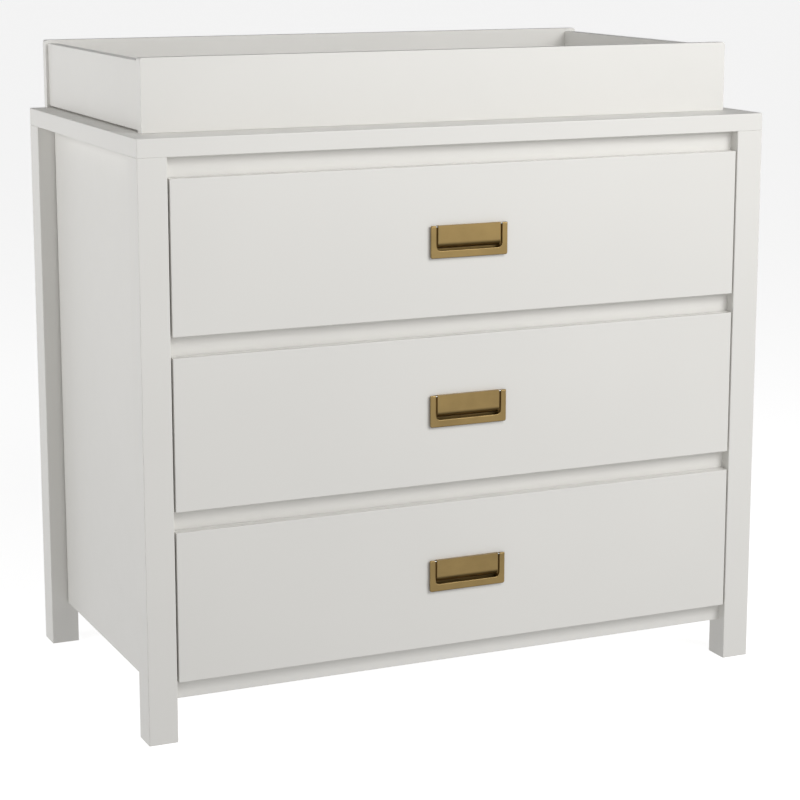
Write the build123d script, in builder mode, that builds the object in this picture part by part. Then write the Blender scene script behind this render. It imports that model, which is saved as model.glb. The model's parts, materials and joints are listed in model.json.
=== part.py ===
from build123d import *
import os

# Changing table: a three-drawer dresser on square legs with a fixed changing tray on top.
# Millimetres. +X to the right, +Y to the back, +Z up. The origin is on the floor, in the
# middle of the overall footprint, which runs from the pulls to the tray's rear board.

os.makedirs("parts", exist_ok=True)

# ---------------------------------------------------------------- overall sizes
width = 940.0
depth = 518.0
leg_height = 790.0
slab_thickness = 25.0
leg_size = 41.0
drawer_count = 3

# ---------------------------------------------------------------- carcass boards
side_inset = 25.0
side_bottom = 63.5
rail_thickness = 18.0
rail_setback = 16.5
rail_overlap = 8.0
bottom_rail_z = 56.0
rear_rail_height = 60.0
back_thickness = 4.0
groove_depth = 6.0
groove_play = 0.2

# ---------------------------------------------------------------- drawers
front_thickness = 15.0
front_side_gap = 2.5
front_bottom = 83.5
front_gap = 28.0
box_side_thickness = 12.0
box_slide_room = 13.0
box_top_room = 20.5
box_rear_room = 63.0
box_floor_height = 10.0
box_floor_thickness = 4.0

# ---------------------------------------------------------------- roller slides
sheet = 1.2
slide_start = 18.0
slide_rear_room = 50.0
slide_above_rail = 4.0
box_above_channel = 2.0
roller_radius = 10.0
roller_width = 7.3
roller_play = 0.3
roller_end_room = 14.0
roller_side_play = 0.5
axle_head_play = 0.3
channel_play = 1.0
channel_overhang = 10.8
flange_reach = 10.0
axle_radius = 3.0
axle_head_radius = 4.5
axle_head_thickness = 0.8
running_fit = 0.05

# ---------------------------------------------------------------- changing tray
tray_thickness = 15.0
tray_height = 98.5
tray_inset = 27.0
tray_setback = 63.0
tray_side_inset = 4.0
tray_side_drop = 5.0
tray_side_raise = 2.0
tray_rear_drop = 85.0
tray_corner = 3.5

# ---------------------------------------------------------------- pulls
pull_width = 116.0
pull_height = 45.0
pull_proud = 5.0
bail_thickness = 3.2
bail_arm = 8.0
bail_bar = 10.4
bail_corner = 2.75
bail_gap_side = 2.4
bail_gap_bottom = 2.3
bail_rear_play = 0.3
tongue_flat = 23.0
tongue_corner = 4.5
cup_width = 98.0
cup_depth = 7.0
cup_wall = 1.2
cup_margin = 1.3
pocket_play = 0.3
plate_margin = 2.0
plate_top_margin = 0.6
pin_radius = 0.8
pin_grip = 4.0
pin_reach = 5.0

# ---------------------------------------------------------------- fasteners
close_fit = 0.1
press_fit = 0.02
cam_radius = 6.0
cam_offset = 24.0
cam_past_middle = 3.0
cam_slot = 1.2
bolt_radius = 2.5
bolt_bite = 11.0
screw_radius = 2.0
screw_head_radius = 4.0
screw_head_height = 2.4
small_screw_radius = 1.5
small_head_radius = 3.0
small_head_height = 1.0
board_screw_length = 36.0
slide_screw_length = 11.0
slab_bite = 16.0
tray_bite = 25.0
pull_screw_x = 38.0
pull_screw_z = 12.0
pull_screw_bite = 3.2
runner_bite = 9.0
dowel_radius = 3.0
dowel_bite = 10.0
dowel_length = 30.0
back_screw_length = 32.0
back_screw_rise = 15.0
side_joint_inset = 60.0
slab_screw_count = 3
slab_screw_share = 0.6
tray_screw_count = 4
tray_screw_share = 0.75
slide_screw_shares = (0.2, 0.5, 0.9)
runner_screw_shares = (0.25, 0.75)

# ---------------------------------------------------------------- edges
leg_edge = 1.5
slab_edge = 1.5
board_edge = 0.8
seam_width = 2.4
seam_depth = 5.0
front_edge = 1.0
pull_edge = 0.9

# ---------------------------------------------------------------- derived places
overall_depth = pull_proud + depth + tray_thickness
face_y = -overall_depth / 2 + pull_proud
rear_y = face_y + depth
inner_x = width / 2 - leg_size
front_legs_y = face_y + leg_size
rear_legs_y = rear_y - leg_size
slab_top = leg_height + slab_thickness
side_thickness = leg_size - side_inset
rail_y = face_y + rail_setback
front_height = (leg_height - front_bottom - drawer_count * front_gap) / drawer_count
front_width = 2 * (inner_x - front_side_gap)
front_bottoms = [
    leg_height - n * (front_gap + front_height) for n in range(1, drawer_count + 1)
]
box_half = inner_x - box_slide_room
box_front_y = face_y + front_thickness
box_rear_y = rear_y - box_rear_room
slide_y = face_y + slide_start
slide_length = depth - slide_start - slide_rear_room
wheel_z = roller_play + roller_radius
channel_flange_z = 2 * (roller_play + roller_radius)
channel_height = channel_flange_z + sheet + channel_play
front_wheel_y = slide_y + roller_end_room
rear_wheel_y = box_rear_y - roller_end_room
back_y = rear_y - rail_thickness / 2
tray_half = width / 2 - tray_inset
tray_front_y = face_y + tray_setback
tray_side_x = tray_half - tray_side_inset - tray_thickness / 2
tray_top = slab_top + tray_height

UP = (Align.CENTER, Align.CENTER, Align.MIN)
DOWN = (Align.CENTER, Align.CENTER, Align.MAX)
LEFT_RIGHT = (("left", -1), ("right", 1))


# ---------------------------------------------------------------- helpers
def save(builder, name):
    """Label a finished piece and write its file."""
    builder.part.label = name
    export_step(builder.part, f"parts/{name}.step")


def rods(planes, radius, length, mode=Mode.ADD):
    """Round rods, or holes, that start on each plane and run along its normal."""
    with Locations(*planes):
        Cylinder(radius, length, align=UP, mode=mode)


def drill(planes, radius, length):
    """Round holes that run into the material behind each plane."""
    with Locations(*planes):
        Cylinder(radius, length, align=DOWN, mode=Mode.SUBTRACT)


def screws(planes, radius, length, head_radius, head_height):
    """Screws whose heads sit on each plane and whose shanks run behind it."""
    with Locations(*planes):
        Cylinder(head_radius, head_height, align=UP)
        Cylinder(radius, length, align=DOWN)


def large_screws(planes, length):
    screws(planes, screw_radius, length, screw_head_radius, screw_head_height)


def small_screws(planes, length):
    screws(planes, small_screw_radius, length, small_head_radius, small_head_height)


def slab_box(low, high, mode=Mode.ADD):
    """A box between two corners."""
    size = [b - a for a, b in zip(low, high)]
    middle = tuple((a + b) / 2 for a, b in zip(low, high))
    with Locations(middle):
        Box(*size, mode=mode)


def outline(sign, points):
    """A closed sheet-metal section in the current sketch; points are mirrored for the left side."""
    Polygon(*[(sign * x, z) for x, z in points], align=None)


def axle(web_x, sign, y, z):
    """A riveted stub axle that stands on a slide's web at web_x and points along sign * X."""
    foot = Plane(origin=(web_x, y, z), x_dir=(0, 1, 0), z_dir=(sign, 0, 0))
    shank = roller_side_play + roller_width + axle_head_play
    rods([foot], axle_radius, shank + axle_head_thickness)
    rods([foot.offset(shank)], axle_head_radius, axle_head_thickness)


def roller(web_x, sign, y, z):
    """A roller that turns on the axle standing at the same place."""
    foot = Plane(origin=(web_x, y, z), x_dir=(0, 1, 0), z_dir=(sign, 0, 0))
    start = foot.offset(roller_side_play)
    rods([start], roller_radius, roller_width)
    rods([start], axle_radius + running_fit, roller_width, Mode.SUBTRACT)


def sunk_hole(planes, low, high):
    """Screw holes up through a rail, widened from its lower edge to each head."""
    drill(planes, screw_radius + close_fit, high - low)
    rods(planes, screw_head_radius + close_fit, high - low, Mode.SUBTRACT)


def tray_outline(bottom):
    """The tray's front or rear board seen from the front, with rounded top corners."""
    with Locations((0, (bottom + tray_top) / 2)):
        Rectangle(2 * tray_half, tray_top - bottom)
    fillet(vertices().group_by(Axis.Y)[-1], tray_corner)


# ---------------------------------------------------------------- cam and dowel joints
# A joint is the plane where a board's end meets its neighbour: the normal runs into the
# board and the x direction points out of the face that carries the cam's pocket.
def cam_planes(joints, thickness):
    """Where each cam's visible face lies, with the normal out of the board."""
    return [
        Plane(
            origin=j.origin + j.z_dir * cam_offset + j.x_dir * (thickness / 2),
            x_dir=j.z_dir,
            z_dir=j.x_dir,
        )
        for j in joints
    ]


def cam_height(thickness):
    return thickness / 2 + cam_past_middle


def cut_board_end(joints, thickness):
    """The board's half of a joint: cam pockets and the bolts' bores."""
    drill(cam_planes(joints, thickness), cam_radius + close_fit, cam_height(thickness) + close_fit)
    rods(joints, bolt_radius + close_fit, cam_offset, Mode.SUBTRACT)


def cut_bolt_seats(joints):
    """The neighbour's half of a joint: blind bores for the bolts."""
    drill(joints, bolt_radius + close_fit, bolt_bite + close_fit)


def cams(joints, thickness):
    """Cam locks with a bore for the bolt and a cross slot for the driver."""
    tops = cam_planes(joints, thickness)
    with Locations(*tops):
        Cylinder(cam_radius, cam_height(thickness), align=DOWN)
    rods(joints, bolt_radius + close_fit, cam_offset + close_fit, Mode.SUBTRACT)
    with Locations(*tops):
        Box(cam_radius, cam_slot, cam_slot, align=DOWN, mode=Mode.SUBTRACT)
        Box(cam_slot, cam_radius, cam_slot, align=DOWN, mode=Mode.SUBTRACT)


def bolts(joints):
    rods([j.offset(-bolt_bite) for j in joints], bolt_radius, bolt_bite + cam_offset)


def cut_dowel_seats(joints):
    """The neighbour's half of a dowelled joint."""
    drill(joints, dowel_radius + press_fit, dowel_bite + close_fit)


def dowels(joints):
    rods([j.offset(-dowel_bite) for j in joints], dowel_radius, dowel_length)


def end_joints(x, y_front, y_rear, heights, pocket):
    """Joints at both ends of a board that runs front to back."""
    planes = []
    for z in heights:
        planes.append(Plane(origin=(x, y_front, z), x_dir=(pocket, 0, 0), z_dir=(0, 1, 0)))
        planes.append(Plane(origin=(x, y_rear, z), x_dir=(pocket, 0, 0), z_dir=(0, -1, 0)))
    return planes


def rail_joints(y, heights, pocket):
    """Joints at both ends of a rail that runs left to right between the legs."""
    planes = []
    for z in heights:
        planes.append(Plane(origin=(-inner_x, y, z), x_dir=(0, pocket, 0), z_dir=(1, 0, 0)))
        planes.append(Plane(origin=(inner_x, y, z), x_dir=(0, pocket, 0), z_dir=(-1, 0, 0)))
    return planes


side_middle_x = inner_x + side_thickness / 2
side_joint_heights = (
    side_bottom + side_joint_inset,
    (side_bottom + leg_height) / 2 + side_joint_inset,
    leg_height - side_joint_inset,
)
side_joints = {
    side: end_joints(sign * side_middle_x, front_legs_y, rear_legs_y, side_joint_heights, -sign)
    for side, sign in LEFT_RIGHT
}

# Front rails: name, lower edge, upper edge. Each one laps behind the drawer fronts.
front_rails = [("top_front_rail", leg_height - front_gap - rail_overlap, leg_height)]
for name, bottom in zip(("upper_middle_rail", "lower_middle_rail"), front_bottoms):
    front_rails.append((name, bottom - front_gap - rail_overlap, bottom + rail_overlap))
front_rails.append(("bottom_front_rail", bottom_rail_z, front_bottoms[-1] + rail_overlap))

rear_rails = [
    ("rear_top_rail", leg_height - rear_rail_height, leg_height),
    ("rear_bottom_rail", side_bottom, side_bottom + rear_rail_height),
]


def rail_joint_heights(low, high):
    return (low + (high - low) / 4, high - (high - low) / 4)


rail_middle_y = rail_y + rail_thickness / 2
front_rail_joints = {
    name: rail_joints(rail_middle_y, rail_joint_heights(low, high), 1)
    for name, low, high in front_rails
}
rear_rail_joints = {
    name: rail_joints(back_y, rail_joint_heights(low, high), -1)
    for name, low, high in rear_rails
}

tray_side_bottom = slab_top + tray_side_raise
tray_side_top = tray_top - tray_side_drop
tray_joint_heights = rail_joint_heights(tray_side_bottom, tray_side_top)
tray_joints = {
    side: end_joints(
        sign * tray_side_x, tray_front_y + tray_thickness, rear_y, tray_joint_heights, -sign
    )
    for side, sign in LEFT_RIGHT
}

# ---------------------------------------------------------------- screw places
def spread(count, span):
    """Evenly spaced places across a span, about the middle."""
    return [span * (n / (count - 1) - 1 / 2) for n in range(count)]


# Screws up through the rails into the slab, sunk so that they bite the slab evenly.
slab_screw_x = spread(slab_screw_count, width * slab_screw_share)


def slab_screw_sink(low, high):
    """How far up from the rail's lower edge a slab screw's head sits."""
    return max(high - low - (board_screw_length - slab_bite), screw_head_height)


def slab_screw_planes(y, low, high):
    z = low + slab_screw_sink(low, high)
    return [Plane(origin=(x, y, z), x_dir=(1, 0, 0), z_dir=(0, 0, -1)) for x in slab_screw_x]


top_front = front_rails[0]
rear_top = rear_rails[0]
slab_screws = slab_screw_planes(rail_middle_y, *top_front[1:]) + slab_screw_planes(
    back_y, *rear_top[1:]
)

# Screws up through the slab into the tray's front board.
tray_front_screws = [
    Plane(origin=(x, tray_front_y + tray_thickness / 2, leg_height), x_dir=(1, 0, 0), z_dir=(0, 0, -1))
    for x in slab_screw_x
]
# Screws through the lower part of the tray's rear board into the rear top rail.
tray_rear_screw_z = leg_height - rear_rail_height / 2
tray_rear_screws = [
    Plane(origin=(x, rear_y + tray_thickness, tray_rear_screw_z), x_dir=(1, 0, 0), z_dir=(0, 1, 0))
    for x in spread(tray_screw_count, width * tray_screw_share)
]
tray_rear_screw_length = tray_thickness + rail_thickness - screw_head_height


def slide_screw_places(sign, channel_z):
    """Three screws along one cabinet channel, heads on its web."""
    x = sign * (inner_x - sheet)
    z = channel_z + wheel_z
    return [
        Plane(origin=(x, slide_y + along * slide_length, z), x_dir=(0, 1, 0), z_dir=(-sign, 0, 0))
        for along in slide_screw_shares
    ]


channel_bottoms = [z + rail_overlap + slide_above_rail for z in front_bottoms]

# ---------------------------------------------------------------- legs
leg_places = [
    ("front_left_leg", -1, face_y + leg_size / 2),
    ("front_right_leg", 1, face_y + leg_size / 2),
    ("rear_left_leg", -1, rear_y - leg_size / 2),
    ("rear_right_leg", 1, rear_y - leg_size / 2),
]
all_leg_joints = [
    j
    for group in (side_joints, front_rail_joints, rear_rail_joints)
    for joints in group.values()
    for j in joints
]
back_groove = back_thickness + groove_play
back_low = side_bottom + rear_rail_height - groove_depth
back_high = leg_height - rear_rail_height + groove_depth


def meets(joint, x, y):
    """True if a joint lies on the faces of the leg centred on x, y."""
    reach = leg_size / 2 + close_fit
    return abs(joint.origin.X - x) < reach and abs(joint.origin.Y - y) < reach


for name, sign, y in leg_places:
    x = sign * (width - leg_size) / 2
    with BuildPart() as leg:
        with BuildSketch():
            with Locations((x, y)):
                Rectangle(leg_size, leg_size)
        extrude(amount=leg_height)
        fillet(leg.edges().filter_by(Axis.Z), leg_edge)
        fillet(leg.faces().sort_by(Axis.Z)[-1].edges(), board_edge)
        cut_bolt_seats([j for j in all_leg_joints if meets(j, x, y)])
        if y > 0:
            x_low, x_high = sorted((sign * inner_x, sign * (inner_x + groove_depth)))
            slab_box(
                (x_low, back_y - back_groove / 2, back_low),
                (x_high, back_y + back_groove / 2, back_high),
                Mode.SUBTRACT,
            )
    save(leg, name)

# ---------------------------------------------------------------- slab
with BuildPart() as top_panel:
    with BuildSketch(Plane.XY.offset(leg_height)):
        with Locations((0, (face_y + rear_y) / 2)):
            Rectangle(width, depth)
    extrude(amount=slab_thickness)
    fillet(top_panel.edges().filter_by(Axis.Z), leg_edge)
    fillet(top_panel.faces().sort_by(Axis.Z)[-1].edges(), slab_edge)
    fillet(top_panel.faces().sort_by(Axis.Z)[0].edges(), board_edge)
    slab_screw_mouths = [
        Plane(origin=(p.origin.X, p.origin.Y, leg_height), z_dir=(0, 0, -1)) for p in slab_screws
    ]
    drill(slab_screw_mouths, screw_radius + close_fit, slab_bite + close_fit)
    drill(tray_front_screws, screw_radius + close_fit, slab_thickness)
save(top_panel, "top_panel")

# ---------------------------------------------------------------- side panels
for side, sign in LEFT_RIGHT:
    with BuildPart() as side_panel:
        with BuildSketch(Plane.XY.offset(side_bottom)):
            with Locations((sign * side_middle_x, (front_legs_y + rear_legs_y) / 2)):
                Rectangle(side_thickness, rear_legs_y - front_legs_y)
        extrude(amount=leg_height - side_bottom)
        seam_x = sorted((sign * (inner_x + side_thickness - seam_depth), sign * (inner_x + side_thickness)))
        for seam_y in (front_legs_y, rear_legs_y - seam_width):
            slab_box(
                (seam_x[0], seam_y, side_bottom),
                (seam_x[1], seam_y + seam_width, leg_height),
                Mode.SUBTRACT,
            )
        outer = side_panel.faces().sort_by(Axis.X)[0 if sign < 0 else -1]
        fillet(outer.edges().filter_by(Axis.Z), board_edge)
        cut_board_end(side_joints[side], side_thickness)
        for channel_z in channel_bottoms:
            drill(slide_screw_places(sign, channel_z), small_screw_radius + close_fit, slide_screw_length)
    save(side_panel, f"{side}_side_panel")

# ---------------------------------------------------------------- rails
for name, low, high in front_rails:
    with BuildPart() as rail:
        slab_box((-inner_x, rail_y, low), (inner_x, rail_y + rail_thickness, high))
        fillet(rail.faces().sort_by(Axis.Y)[0].edges().filter_by(Axis.X), board_edge)
        cut_board_end(front_rail_joints[name], rail_thickness)
        if name == "top_front_rail":
            sunk_hole(slab_screw_planes(rail_middle_y, low, high), low, high)
    save(rail, name)

for name, low, high in rear_rails:
    with BuildPart() as rail:
        slab_box((-inner_x, rear_y - rail_thickness, low), (inner_x, rear_y, high))
        groove_z = (low, low + groove_depth) if name == "rear_top_rail" else (high - groove_depth, high)
        slab_box(
            (-inner_x, back_y - back_groove / 2, groove_z[0]),
            (inner_x, back_y + back_groove / 2, groove_z[1]),
            Mode.SUBTRACT,
        )
        cut_board_end(rear_rail_joints[name], rail_thickness)
        if name == "rear_top_rail":
            sunk_hole(slab_screw_planes(back_y, low, high), low, high)
            drill(tray_rear_screws, screw_radius + close_fit, tray_rear_screw_length + close_fit)
    save(rail, name)

with BuildPart() as back_panel:
    slab_box(
        (-inner_x - groove_depth + groove_play, back_y - back_thickness / 2, back_low + groove_play),
        (inner_x + groove_depth - groove_play, back_y + back_thickness / 2, back_high - groove_play),
    )
save(back_panel, "back_panel")

# ---------------------------------------------------------------- cabinet slides
for side, sign in LEFT_RIGHT:
    with BuildPart() as channels:
        for z in channel_bottoms:
            with BuildSketch(Plane.XZ.offset(-slide_y)) as profile:
                outline(sign, [
                    (inner_x, z - sheet),
                    (inner_x, z + channel_height + sheet),
                    (inner_x - channel_overhang, z + channel_height + sheet),
                    (inner_x - channel_overhang, z + channel_height),
                    (inner_x - sheet, z + channel_height),
                    (inner_x - sheet, z),
                    (inner_x - channel_overhang, z),
                    (inner_x - channel_overhang, z - sheet),
                ])
            extrude(profile.sketch, amount=-slide_length)
            axle(sign * (inner_x - sheet), -sign, front_wheel_y, z + wheel_z)
            drill(slide_screw_places(sign, z), small_screw_radius + close_fit, sheet)
    save(channels, f"{side}_slide_channels")

# ---------------------------------------------------------------- changing tray
with BuildPart() as tray_front_board:
    with BuildSketch(Plane.XZ.offset(-tray_front_y)):
        tray_outline(slab_top)
    extrude(amount=-tray_thickness)
    fillet(tray_front_board.faces().sort_by(Axis.Y)[0].edges(), board_edge)
    fillet(tray_front_board.faces().sort_by(Axis.Y)[-1].edges(), board_edge)
    for joints in tray_joints.values():
        cut_dowel_seats([j for j in joints if j.z_dir.Y > 0])
    drill(tray_front_screws, screw_radius + close_fit, slab_thickness + tray_bite + close_fit)
save(tray_front_board, "tray_front_board")

with BuildPart() as tray_back_board:
    with BuildSketch(Plane.XZ.offset(-rear_y)):
        tray_outline(slab_top - tray_rear_drop)
    extrude(amount=-tray_thickness)
    fillet(tray_back_board.faces().sort_by(Axis.Y)[-1].edges(), board_edge)
    for joints in tray_joints.values():
        cut_dowel_seats([j for j in joints if j.z_dir.Y < 0])
    drill(tray_rear_screws, screw_radius + close_fit, tray_thickness)
save(tray_back_board, "tray_back_board")

for side, sign in LEFT_RIGHT:
    with BuildPart() as tray_side:
        slab_box(
            (sign * tray_side_x - tray_thickness / 2, tray_front_y + tray_thickness, tray_side_bottom),
            (sign * tray_side_x + tray_thickness / 2, rear_y, tray_side_top),
        )
        fillet(tray_side.edges().filter_by(Axis.Y), board_edge)
        rods(
            tray_joints[side],
            dowel_radius + press_fit,
            dowel_length - dowel_bite + close_fit,
            Mode.SUBTRACT,
        )
    save(tray_side, f"tray_{side}_board")

# ---------------------------------------------------------------- cabinet fittings
cam_groups = [(joints, side_thickness) for joints in side_joints.values()]
cam_groups += [(joints, rail_thickness) for joints in front_rail_joints.values()]
cam_groups += [(joints, rail_thickness) for joints in rear_rail_joints.values()]

with BuildPart() as cam_locks:
    for joints, thickness in cam_groups:
        cams(joints, thickness)
save(cam_locks, "cam_locks")

with BuildPart() as cam_bolts:
    bolts([j for joints, _ in cam_groups for j in joints])
save(cam_bolts, "cam_bolts")

with BuildPart() as cabinet_screws:
    large_screws(slab_screws, board_screw_length)
    slide_planes = [
        p
        for _, sign in LEFT_RIGHT
        for z in channel_bottoms
        for p in slide_screw_places(sign, z)
    ]
    small_screws(slide_planes, slide_screw_length)
    large_screws(tray_front_screws, slab_thickness + tray_bite)
    large_screws(tray_rear_screws, tray_rear_screw_length)
save(cabinet_screws, "cabinet_screws")

with BuildPart() as tray_dowels:
    for joints in tray_joints.values():
        dowels(joints)
save(tray_dowels, "tray_dowels")

# ---------------------------------------------------------------- pull pieces, made at the origin
# The pull's own frame: y = 0 on the drawer front, z = 0 at its middle, outward is -Y.
pull_top = pull_height / 2
tongue_width = pull_width - 2 * (bail_arm + bail_gap_side)
bar_top = bail_bar - pull_top
tongue_bottom = bar_top + bail_gap_bottom
roll_start = pull_top - tongue_flat
roll_radius = roll_start - tongue_bottom
roll_centre_y = roll_radius - pull_proud
bail_rear = bail_thickness - pull_proud
plate_thickness = -bail_rear - bail_rear_play
pin_y = bail_thickness / 2 - pull_proud
pin_z = pull_top - bail_thickness / 2
cup_top = cup_margin
cup_bottom = cup_margin - pull_top
pull_screws = [
    Plane(origin=(sign * pull_screw_x, front_thickness, pull_screw_z), x_dir=(1, 0, 0), z_dir=(0, 1, 0))
    for _, sign in LEFT_RIGHT
]
pull_screw_length = front_thickness + pull_screw_bite

pin_length = pin_grip + bail_gap_side + pin_reach


def pin_start(sign):
    """Where a pull's pin starts inside the tongue, with the normal towards the arm."""
    x = sign * (tongue_width / 2 - pin_grip)
    return Plane(origin=(x, pin_y, pin_z), x_dir=(0, 1, 0), z_dir=(sign, 0, 0))


# The tongue: flat above, and rolled back towards the drawer at its lower edge.
with BuildPart() as tongue:
    with BuildSketch(Plane.YZ.offset(-tongue_width / 2)):
        with BuildLine():
            Polyline(
                (roll_centre_y, tongue_bottom),
                (cup_depth, tongue_bottom),
                (cup_depth, cup_top),
                (0, cup_top),
                (0, pull_top),
                (-pull_proud, pull_top),
                (-pull_proud, roll_start),
            )
            RadiusArc((-pull_proud, roll_start), (roll_centre_y, tongue_bottom), -roll_radius)
        make_face()
    extrude(amount=tongue_width)
    with BuildSketch(Plane.XZ.offset(pull_proud)):
        with Locations((0, (pull_top + tongue_bottom) / 2)):
            Rectangle(tongue_width, pull_top - tongue_bottom)
        fillet(vertices().group_by(Axis.Y)[0], tongue_corner)
    extrude(amount=-pull_proud - cup_depth, mode=Mode.INTERSECT)
    fillet(tongue.faces().sort_by(Axis.Y)[0].edges().filter_by(Axis.Z), pull_edge)

with BuildPart() as pull_plate:
    with BuildSketch(Plane.XZ.offset(plate_thickness)):
        with Locations((0, (plate_margin - plate_top_margin) / 2)):
            RectangleRounded(
                pull_width - 2 * plate_margin,
                pull_height - plate_margin - plate_top_margin,
                bail_corner,
            )
    extrude(amount=-plate_thickness)
    slab_box((-cup_width / 2, 0, cup_bottom), (cup_width / 2, cup_depth, cup_top))
    slab_box(
        (cup_wall - cup_width / 2, -plate_thickness, cup_bottom + cup_wall),
        (cup_width / 2 - cup_wall, cup_depth - cup_wall, cup_top - cup_wall),
        Mode.SUBTRACT,
    )
    add(tongue.part)
    drill(pull_screws, screw_radius + press_fit, pull_screw_length + close_fit)
    for _, sign in LEFT_RIGHT:
        rods([pin_start(sign)], pin_radius + press_fit, pin_grip + close_fit, Mode.SUBTRACT)

# The bail: two arms and a bar round the tongue, hung from pins in the arms' rounded tops.
with BuildPart() as pull_bail:
    with BuildSketch(Plane.XZ.offset(pull_proud)):
        Rectangle(pull_width, pull_height)
        fillet(vertices().group_by(Axis.Y)[0], bail_corner)
    extrude(amount=-bail_thickness)
    with BuildSketch(Plane.XZ.offset(pull_proud)):
        with Locations((0, (pull_top + bar_top) / 2)):
            Rectangle(pull_width - 2 * bail_arm, pull_top - bar_top)
        fillet(vertices().group_by(Axis.Y)[0], tongue_corner + bail_gap_bottom)
    extrude(amount=-bail_thickness, mode=Mode.SUBTRACT)
    fillet(
        pull_bail.faces().group_by(Axis.Z)[-1].edges().filter_by(Axis.X),
        bail_thickness / 2 - press_fit,
    )
    rim = pull_bail.faces().sort_by(Axis.Y)[0].edges()
    fillet(rim - rim.filter_by(Axis.X).group_by(Axis.Z)[-1], pull_edge)
    for _, sign in LEFT_RIGHT:
        arm_face = pin_start(sign).offset(pin_grip + bail_gap_side)
        rods([arm_face], pin_radius + running_fit, pin_reach + close_fit, Mode.SUBTRACT)

with BuildPart() as pull_pins:
    rods([pin_start(sign) for _, sign in LEFT_RIGHT], pin_radius, pin_length)

# ---------------------------------------------------------------- drawers
box_depth = box_rear_y - box_front_y
side_outer = box_half
side_inner = box_half - box_side_thickness
drawer_web_x = box_half + sheet
groove_half = side_inner + groove_depth


def box_levels(front_z):
    """Heights of a drawer box's lower edge, floor and upper edge."""
    low = front_z + rail_overlap + slide_above_rail + box_above_channel
    return low, low + box_floor_height, front_z + front_height - rail_overlap - box_top_room


def box_joints(sign, low, high):
    """Two joints where a drawer side meets the front."""
    x = sign * (side_outer - box_side_thickness / 2)
    return [
        Plane(origin=(x, box_front_y, z), x_dir=(-sign, 0, 0), z_dir=(0, 1, 0))
        for z in rail_joint_heights(low, high)
    ]


def back_screw_places(sign, low, high):
    """Two screws through a drawer side into the end of the box's back."""
    y = box_rear_y - box_side_thickness / 2
    return [
        Plane(origin=(sign * side_outer, y, z), x_dir=(0, 1, 0), z_dir=(sign, 0, 0))
        for z in rail_joint_heights(low + back_screw_rise, high)
    ]


def runner_screw_places(sign, low, floor_z):
    """Two screws through a drawer runner's web into the drawer side, below the box's floor."""
    z = (low + floor_z) / 2
    return [
        Plane(
            origin=(sign * drawer_web_x, box_front_y + along * box_depth, z),
            x_dir=(0, 1, 0),
            z_dir=(sign, 0, 0),
        )
        for along in runner_screw_shares
    ]


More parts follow.
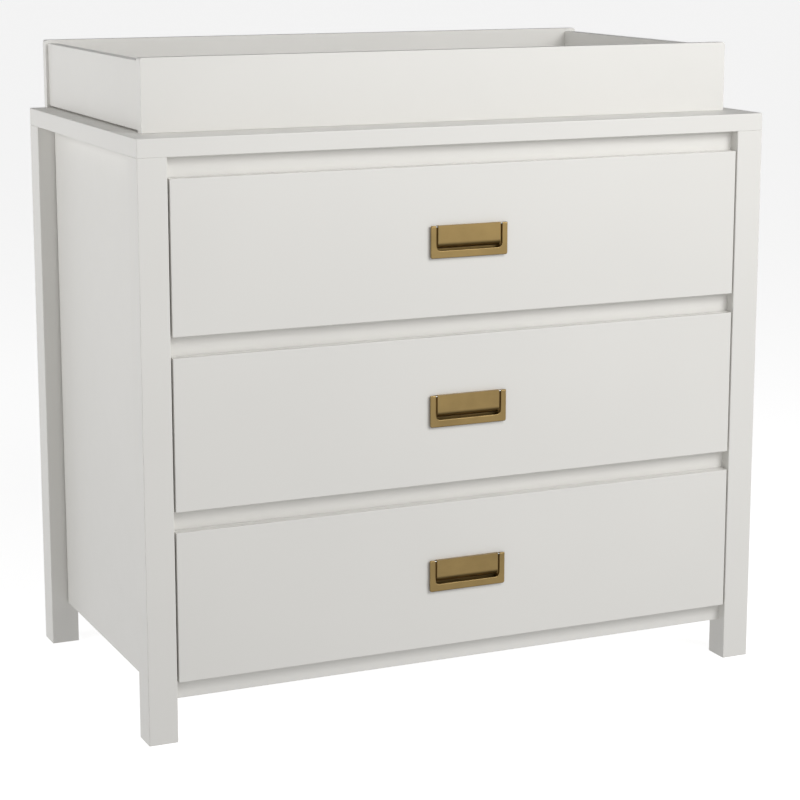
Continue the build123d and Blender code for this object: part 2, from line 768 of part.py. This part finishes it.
for number, (front_z, channel_z) in enumerate(zip(front_bottoms, channel_bottoms), start=1):
    low, floor_z, high = box_levels(front_z)
    pull_z = front_z + front_height / 2
    drawer = f"drawer_{number}"
    joints = {sign: box_joints(sign, low, high) for _, sign in LEFT_RIGHT}
    back_screws = {sign: back_screw_places(sign, floor_z, high) for _, sign in LEFT_RIGHT}
    runner_screws = {sign: runner_screw_places(sign, low, floor_z) for _, sign in LEFT_RIGHT}
    placed_pull_screws = [
        Plane(origin=p.origin + Vector(0, face_y, pull_z), x_dir=p.x_dir, z_dir=p.z_dir)
        for p in pull_screws
    ]

    with BuildPart() as front:
        with BuildSketch(Plane.XZ.offset(-face_y)):
            with Locations((0, pull_z)):
                Rectangle(front_width, front_height)
        extrude(amount=-front_thickness)
        fillet(front.faces().sort_by(Axis.Y)[0].edges(), front_edge)
        slab_box(
            (-cup_width / 2 - pocket_play, face_y, pull_z + cup_bottom - pocket_play),
            (cup_width / 2 + pocket_play, face_y + cup_depth + pocket_play, pull_z + cup_top + pocket_play),
            Mode.SUBTRACT,
        )
        slab_box(
            (-groove_half, box_front_y - groove_depth, floor_z),
            (groove_half, box_front_y, floor_z + box_floor_thickness + groove_play),
            Mode.SUBTRACT,
        )
        for _, sign in LEFT_RIGHT:
            cut_bolt_seats(joints[sign])
        drill(placed_pull_screws, screw_radius + close_fit, front_thickness)
    save(front, f"{drawer}_front")

    for side, sign in LEFT_RIGHT:
        with BuildPart() as box_side:
            x_low, x_high = sorted((sign * side_inner, sign * side_outer))
            slab_box((x_low, box_front_y, low), (x_high, box_rear_y, high))
            fillet(box_side.faces().sort_by(Axis.Z)[-1].edges().filter_by(Axis.Y), board_edge)
            x_low, x_high = sorted((sign * side_inner, sign * (side_inner + groove_depth)))
            slab_box(
                (x_low, box_front_y, floor_z),
                (x_high, box_rear_y, floor_z + box_floor_thickness + groove_play),
                Mode.SUBTRACT,
            )
            cut_board_end(joints[sign], box_side_thickness)
            drill(back_screws[sign], small_screw_radius + close_fit, box_side_thickness)
            drill(runner_screws[sign], small_screw_radius + close_fit, sheet + runner_bite + close_fit)
        save(box_side, f"{drawer}_{side}_side")

    with BuildPart() as box_back:
        back_low_z = floor_z + box_floor_thickness + groove_play
        slab_box((-side_inner, box_rear_y - box_side_thickness, back_low_z), (side_inner, box_rear_y, high))
        fillet(box_back.faces().sort_by(Axis.Z)[-1].edges().filter_by(Axis.X), board_edge)
        for _, sign in LEFT_RIGHT:
            drill(back_screws[sign], small_screw_radius + close_fit, back_screw_length + close_fit)
    save(box_back, f"{drawer}_back")

    with BuildPart() as box_floor:
        reach = groove_half - groove_play
        slab_box(
            (-reach, box_front_y - groove_depth + groove_play, floor_z + groove_play / 2),
            (reach, box_rear_y, floor_z + groove_play / 2 + box_floor_thickness),
        )
    save(box_floor, f"{drawer}_bottom")

    with BuildPart() as runners:
        for _, sign in LEFT_RIGHT:
            flange_z = channel_z + channel_flange_z
            with BuildSketch(Plane.XZ.offset(-box_front_y - sheet)) as profile:
                outline(sign, [
                    (side_inner, low - sheet),
                    (drawer_web_x, low - sheet),
                    (drawer_web_x, flange_z),
                    (side_outer + flange_reach, flange_z),
                    (side_outer + flange_reach, flange_z + sheet),
                    (side_outer, flange_z + sheet),
                    (side_outer, low),
                    (side_inner, low),
                ])
            extrude(profile.sketch, amount=-(box_depth - sheet))
            axle(sign * drawer_web_x, sign, rear_wheel_y, channel_z + wheel_z)
            drill(runner_screws[sign], small_screw_radius + close_fit, sheet)
    save(runners, f"{drawer}_runners")

    with BuildPart() as rear_rollers:
        for _, sign in LEFT_RIGHT:
            roller(sign * drawer_web_x, sign, rear_wheel_y, channel_z + wheel_z)
    save(rear_rollers, f"{drawer}_rear_rollers")

    with BuildPart() as front_rollers:
        for _, sign in LEFT_RIGHT:
            roller(sign * (inner_x - sheet), -sign, front_wheel_y, channel_z + wheel_z)
    save(front_rollers, f"{drawer}_front_rollers")

    with BuildPart() as fixings:
        for _, sign in LEFT_RIGHT:
            cams(joints[sign], box_side_thickness)
            bolts(joints[sign])
            small_screws(back_screws[sign], back_screw_length)
            small_screws(runner_screws[sign], sheet + runner_bite)
        large_screws(placed_pull_screws, pull_screw_length)
    save(fixings, f"{drawer}_fixings")

    for piece, name in ((pull_plate, "pull_plate"), (pull_bail, "pull_bail"), (pull_pins, "pull_pins")):
        with BuildPart() as placed:
            with Locations((0, face_y, pull_z)):
                add(piece.part)
        save(placed, f"{drawer}_{name}")
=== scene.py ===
import bpy
import json
import math
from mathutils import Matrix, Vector

# Looks for the changing table: a satin off-white dresser with brass drop pulls and a tray on top.
# Metres. Every piece is a frame node; this script adds its materials, the floor, the sky, the lights
# and the camera.

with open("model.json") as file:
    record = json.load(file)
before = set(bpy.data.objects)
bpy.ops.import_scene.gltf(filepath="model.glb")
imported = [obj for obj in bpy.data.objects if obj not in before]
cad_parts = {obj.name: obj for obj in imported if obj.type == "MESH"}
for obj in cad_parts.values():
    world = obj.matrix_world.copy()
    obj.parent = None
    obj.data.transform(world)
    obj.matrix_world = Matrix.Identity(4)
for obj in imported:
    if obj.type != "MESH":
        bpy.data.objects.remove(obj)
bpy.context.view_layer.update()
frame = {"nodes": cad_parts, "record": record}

# ---------------------------------------------------------------- tones (linear RGB)
LACQUER = (0.790, 0.778, 0.745)
HARDBOARD = (0.700, 0.688, 0.655)
BEECH = (0.500, 0.330, 0.170)
EPOXY = (0.780, 0.765, 0.715)
ZINC = (0.560, 0.555, 0.530)
BRASS = (0.345, 0.238, 0.092)
NYLON = (0.800, 0.795, 0.770)
FLOOR = (0.550, 0.550, 0.550)
WHITE = (1.000, 1.000, 1.000)

# ---------------------------------------------------------------- surface patterns
# A noise pattern lies around its middle value, and mostly within this reach of it.
NOISE_MIDDLE = 0.5
NOISE_REACH = 0.2
RELIEF = 0.0003
FINE_RELIEF = 0.0002

# ---------------------------------------------------------------- floor and sky
FLOOR_HALF = 45.0
FLOOR_GLOW = 0.84
SKY_STRENGTH = 1.02
# Grey levels of the sky by the sine of the height above the horizon: as diffuse light, in reflections,
# and as the backdrop.
DIFFUSE_BANDS = [(-0.02, 0.58), (0.0, 0.9), (0.5, 0.0)]
MIRRORED_BANDS = [(-0.75, 0.0), (-0.32, 0.95), (-0.1, 0.85), (0.0, 0.9), (0.5, 0.0)]
BACKDROP_BANDS = [(-1.0, 0.90), (1.0, 0.93)]

# ---------------------------------------------------------------- lights and camera
LIGHT_AIM = Vector((0.0, 0.0, 0.5))
CAMERA_PLACE = Vector((-1.3352, -3.0150, 1.0964))
CAMERA_TURN = math.radians(24.142)
CAMERA_DIP = math.radians(11.008)
CAMERA_LENS = 101.4
CAMERA_SENSOR = 36.0
CAMERA_SHIFT = -0.06
CAMERA_REACH = 200.0


# ---------------------------------------------------------------- node helpers
def shade(tone, factor):
    """A darker or lighter version of a tone."""
    return tuple(min(channel * factor, 1.0) for channel in tone)


def colour_ramp(tree, source, stops):
    """Colours a pattern by its value, through stops that each have a position and a tone."""
    node = tree.nodes.new("ShaderNodeValToRGB")
    elements = node.color_ramp.elements
    while len(elements) < len(stops):
        elements.new(0.5)
    for element, (position, tone) in zip(elements, stops):
        element.position = position
        element.color = (*tone, 1.0)
    tree.links.new(source, node.inputs["Fac"])
    return node.outputs["Color"]


class Surface:
    """A Principled material whose patterns are laid out in the object's own metres."""

    def __init__(self, name, **values):
        self.material = bpy.data.materials.new(name)
        self.material.use_nodes = True
        self.tree = self.material.node_tree
        self.shader = self.tree.nodes["Principled BSDF"]
        self.place = self.tree.nodes.new("ShaderNodeTexCoord").outputs["Object"]
        for socket, value in values.items():
            self.shader.inputs[socket.replace("_", " ")].default_value = value

    def stretched(self, scale):
        """Object coordinates scaled along each axis, for brushed or fibrous patterns."""
        mapping = self.tree.nodes.new("ShaderNodeMapping")
        mapping.inputs["Scale"].default_value = scale
        self.tree.links.new(self.place, mapping.inputs["Vector"])
        return mapping.outputs["Vector"]

    def noise(self, scale, detail, stretch=None):
        node = self.tree.nodes.new("ShaderNodeTexNoise")
        node.inputs["Scale"].default_value = scale
        node.inputs["Detail"].default_value = detail
        place = self.stretched(stretch) if stretch else self.place
        self.tree.links.new(place, node.inputs["Vector"])
        return node.outputs["Fac"]

    def tint(self, source, tone, dark, light, reach=NOISE_REACH):
        """Base colour from a darker to a lighter shade of one tone, as the pattern rises."""
        low = (NOISE_MIDDLE - reach, shade(tone, dark))
        high = (NOISE_MIDDLE + reach, shade(tone, light))
        colour = colour_ramp(self.tree, source, [low, high])
        self.tree.links.new(colour, self.shader.inputs["Base Color"])

    def roughness(self, source, low, high):
        """Roughness from low to high, as the pattern rises."""
        node = self.tree.nodes.new("ShaderNodeMapRange")
        node.inputs["From Min"].default_value = NOISE_MIDDLE - NOISE_REACH
        node.inputs["From Max"].default_value = NOISE_MIDDLE + NOISE_REACH
        node.inputs["To Min"].default_value = low
        node.inputs["To Max"].default_value = high
        self.tree.links.new(source, node.inputs["Value"])
        self.tree.links.new(node.outputs["Result"], self.shader.inputs["Roughness"])

    def bump(self, *layers):
        """Stacks bumps, each given as a pattern, a strength and a height in metres."""
        normal = None
        for source, strength, height in layers:
            node = self.tree.nodes.new("ShaderNodeBump")
            node.inputs["Strength"].default_value = strength
            node.inputs["Distance"].default_value = height
            self.tree.links.new(source, node.inputs["Height"])
            if normal:
                self.tree.links.new(normal, node.inputs["Normal"])
            normal = node.outputs["Normal"]
        self.tree.links.new(normal, self.shader.inputs["Normal"])


# ---------------------------------------------------------------- materials
def lacquered_wood():
    """Sprayed satin lacquer over smooth board, with a faint mottle and a fine orange peel."""
    s = Surface("satin_lacquer", Specular_IOR_Level=0.5, Coat_Weight=0.12, Coat_Roughness=0.25)
    s.tint(s.noise(2.3, 3.0), LACQUER, dark=0.985, light=1.012, reach=0.15)
    s.roughness(s.noise(38.0, 4.0), 0.36, 0.44)
    s.bump((s.noise(420.0, 1.5), 0.06, RELIEF))
    return s.material


def white_hardboard():
    """Painted hardboard with its faint fibres and pressed pimples."""
    s = Surface("painted_hardboard", Specular_IOR_Level=0.35)
    fibres = s.noise(60.0, 6.0, stretch=(1.0, 3.0, 3.0))
    s.tint(fibres, HARDBOARD, dark=0.97, light=1.03, reach=0.18)
    s.roughness(s.noise(150.0, 3.0), 0.48, 0.62)
    s.bump((s.noise(900.0, 2.0), 0.12, RELIEF), (fibres, 0.05, RELIEF))
    return s.material


def beech_dowel():
    """Plain beech with its grain along the dowel."""
    s = Surface("beech", Specular_IOR_Level=0.3)
    grain = s.noise(40.0, 6.0, stretch=(12.0, 1.0, 12.0))
    s.tint(grain, BEECH, dark=0.78, light=1.12)
    s.roughness(grain, 0.70, 0.50)
    s.bump((grain, 0.20, RELIEF))
    return s.material


def slide_steel():
    """Cream epoxy powder coat on rolled steel."""
    s = Surface("cream_epoxy", Specular_IOR_Level=0.5)
    s.tint(s.noise(14.0, 3.0), EPOXY, dark=0.97, light=1.02, reach=0.15)
    s.roughness(s.noise(240.0, 3.0), 0.26, 0.40)
    s.bump((s.noise(1100.0, 2.0), 0.20, RELIEF))
    return s.material


def zinc_fittings():
    """Zinc plate with a cloudy bloom."""
    s = Surface("zinc_plate", Metallic=1.0)
    s.tint(s.noise(170.0, 4.0), ZINC, dark=0.84, light=1.12)
    s.roughness(s.noise(320.0, 3.0), 0.26, 0.48)
    s.bump((s.noise(1500.0, 2.0), 0.12, FINE_RELIEF))
    return s.material


def brass_pull():
    """Satin brass, brushed from side to side and lacquered, a little darker in patches."""
    s = Surface("satin_brass", Metallic=1.0, Coat_Weight=0.25, Coat_Roughness=0.30)
    s.tint(s.noise(26.0, 5.0), BRASS, dark=0.88, light=1.08)
    strokes = s.noise(60.0, 6.0, stretch=(1.0, 28.0, 28.0))
    s.roughness(strokes, 0.34, 0.50)
    s.bump((strokes, 0.10, FINE_RELIEF))
    return s.material


def roller_plastic():
    """Moulded nylon with a fine matte skin."""
    s = Surface("moulded_nylon", Subsurface_Weight=0.08, Subsurface_Scale=0.002)
    s.tint(s.noise(90.0, 3.0), NYLON, dark=0.96, light=1.02, reach=0.15)
    s.roughness(s.noise(500.0, 3.0), 0.42, 0.56)
    s.bump((s.noise(1600.0, 2.0), 0.15, FINE_RELIEF))
    return s.material


def paint():
    """Gives every node the finish that the part's record names for it."""
    finishes = {
        "lacquered_wood": lacquered_wood(),
        "white_hardboard": white_hardboard(),
        "beech_dowel": beech_dowel(),
        "slide_steel": slide_steel(),
        "zinc_fittings": zinc_fittings(),
        "brass_pull": brass_pull(),
        "roller_plastic": roller_plastic(),
    }
    for subpart in frame["record"]["subparts"]:
        node = frame["nodes"][subpart["node"]]
        for holder in node.material_slots:
            holder.link = "OBJECT"
            holder.material = finishes[subpart["material_slot"]]


# ---------------------------------------------------------------- studio
def pale_floor():
    """A wide pale floor that glows softly. It is left out of the object's light and reflections."""
    mesh = bpy.data.meshes.new("floor")
    corners = [
        (-FLOOR_HALF, -FLOOR_HALF, 0.0),
        (FLOOR_HALF, -FLOOR_HALF, 0.0),
        (FLOOR_HALF, FLOOR_HALF, 0.0),
        (-FLOOR_HALF, FLOOR_HALF, 0.0),
    ]
    mesh.from_pydata(corners, [], [(0, 1, 2, 3)])
    floor = bpy.data.objects.new("floor", mesh)
    bpy.context.collection.objects.link(floor)
    s = Surface("studio_floor", Specular_IOR_Level=0.2, Emission_Strength=FLOOR_GLOW)
    s.shader.inputs["Emission Color"].default_value = (*WHITE, 1.0)
    s.tint(s.noise(1.5, 3.0), FLOOR, dark=0.995, light=1.0)
    s.roughness(s.noise(5.0, 2.0), 0.70, 0.80)
    mesh.materials.append(s.material)
    floor.visible_diffuse = False
    floor.visible_glossy = False


def sky():
    """Soft light from all round, which fades out overhead. Reflections see a darker ground."""
    world = bpy.data.worlds.new("studio")
    world.use_nodes = True
    tree = world.node_tree
    rays = tree.nodes.new("ShaderNodeLightPath")
    direction = tree.nodes.new("ShaderNodeTexCoord").outputs["Generated"]
    height = tree.nodes.new("ShaderNodeSeparateXYZ")
    tree.links.new(direction, height.inputs["Vector"])
    level = tree.nodes.new("ShaderNodeMapRange")
    level.inputs["From Min"].default_value = -1.0
    tree.links.new(height.outputs["Z"], level.inputs["Value"])

    def bands(stops):
        """The sky's grey levels, with each sine turned into a position from 0 to 1."""
        placed = [((sine + 1) / 2, shade(WHITE, grey)) for sine, grey in stops]
        return colour_ramp(tree, level.outputs["Result"], placed)

    def replaced(usual, kind, special):
        """The usual colour, with a special one for one kind of ray."""
        mix = tree.nodes.new("ShaderNodeMix")
        mix.data_type = "RGBA"
        tree.links.new(rays.outputs[kind], mix.inputs["Factor"])
        tree.links.new(usual, mix.inputs["A"])
        tree.links.new(special, mix.inputs["B"])
        return mix.outputs["Result"]

    lit = replaced(bands(DIFFUSE_BANDS), "Is Glossy Ray", bands(MIRRORED_BANDS))
    seen = replaced(lit, "Is Camera Ray", bands(BACKDROP_BANDS))
    background = tree.nodes["Background"]
    tree.links.new(seen, background.inputs["Color"])
    background.inputs["Strength"].default_value = SKY_STRENGTH
    bpy.context.scene.world = world


def softbox(name, place, width, height, watts):
    """A rectangular lamp that faces the middle of the object."""
    light = bpy.data.lights.new(name, "AREA")
    light.shape = "RECTANGLE"
    light.size = width
    light.size_y = height
    light.energy = watts
    lamp = bpy.data.objects.new(name, light)
    lamp.location = place
    lamp.rotation_euler = (LIGHT_AIM - lamp.location).to_track_quat("-Z", "Y").to_euler()
    bpy.context.collection.objects.link(lamp)


def photo_camera():
    """The photograph's viewpoint: in front, to the left and a little above the table."""
    data = bpy.data.cameras.new("camera")
    data.sensor_width = CAMERA_SENSOR
    data.lens = CAMERA_LENS
    data.shift_y = CAMERA_SHIFT
    data.clip_end = CAMERA_REACH
    camera = bpy.data.objects.new("camera", data)
    camera.location = CAMERA_PLACE
    camera.rotation_euler = (math.pi / 2 - CAMERA_DIP, 0.0, -CAMERA_TURN)
    bpy.context.collection.objects.link(camera)
    bpy.context.scene.camera = camera


paint()
pale_floor()
sky()
softbox("key", place=(1.4, -2.6, 2.0), width=1.4, height=1.4, watts=47.0)
softbox("front", place=(0.2, -2.3, 2.7), width=1.4, height=1.4, watts=18.0)
softbox("left", place=(-2.4, 0.2, 1.4), width=1.6, height=1.2, watts=20.0)
photo_camera()
bpy.context.scene.view_settings.view_transform = "Standard"
